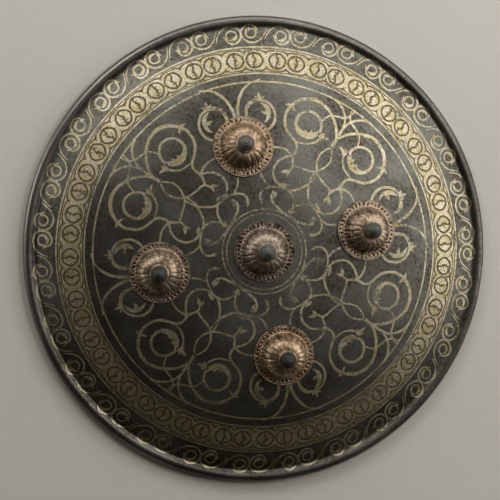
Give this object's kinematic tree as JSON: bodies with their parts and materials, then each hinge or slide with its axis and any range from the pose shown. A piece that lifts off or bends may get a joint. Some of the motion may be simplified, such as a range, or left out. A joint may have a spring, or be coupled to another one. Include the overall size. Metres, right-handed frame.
{
  "type": "round shield",
  "caption": "Round domed steel shield with a rolled rim, gilt copper bosses on its face, and straps on its back for an arm and a hand.",
  "frame": {"origin": "on the shield's axis, level with the underside of the rolled rim that it lies on", "axes": "+Z out of the face along the shield's axis; +Y along the two straps; +X across them"},
  "size_m": [0.45, 0.45, 0.0837],
  "materials": {
    "blackened_steel": "blued to a blue-grey black, with flush gold ornament on the face",
    "gilt_copper": "chased copper with worn gilding",
    "dark_iron": "forged and darkened",
    "strap_leather": "dark brown harness leather, waxed"
  },
  "bodies": {
    "root": {"shield_plate": "blackened_steel", "boss_centre": "gilt_copper", "boss_upper_right": "gilt_copper", "boss_upper_left": "gilt_copper", "boss_lower_left": "gilt_copper", "boss_lower_right": "gilt_copper", "rivet_centre": "dark_iron", "rivet_upper_right": "dark_iron", "rivet_upper_left": "dark_iron", "rivet_lower_left": "dark_iron", "rivet_lower_right": "dark_iron", "washer_centre": "dark_iron", "washer_upper_right": "dark_iron", "washer_upper_left": "dark_iron", "washer_lower_left": "dark_iron", "washer_lower_right": "dark_iron", "strap_left": "strap_leather", "strap_right": "strap_leather"}
  },
  "joints": []
}
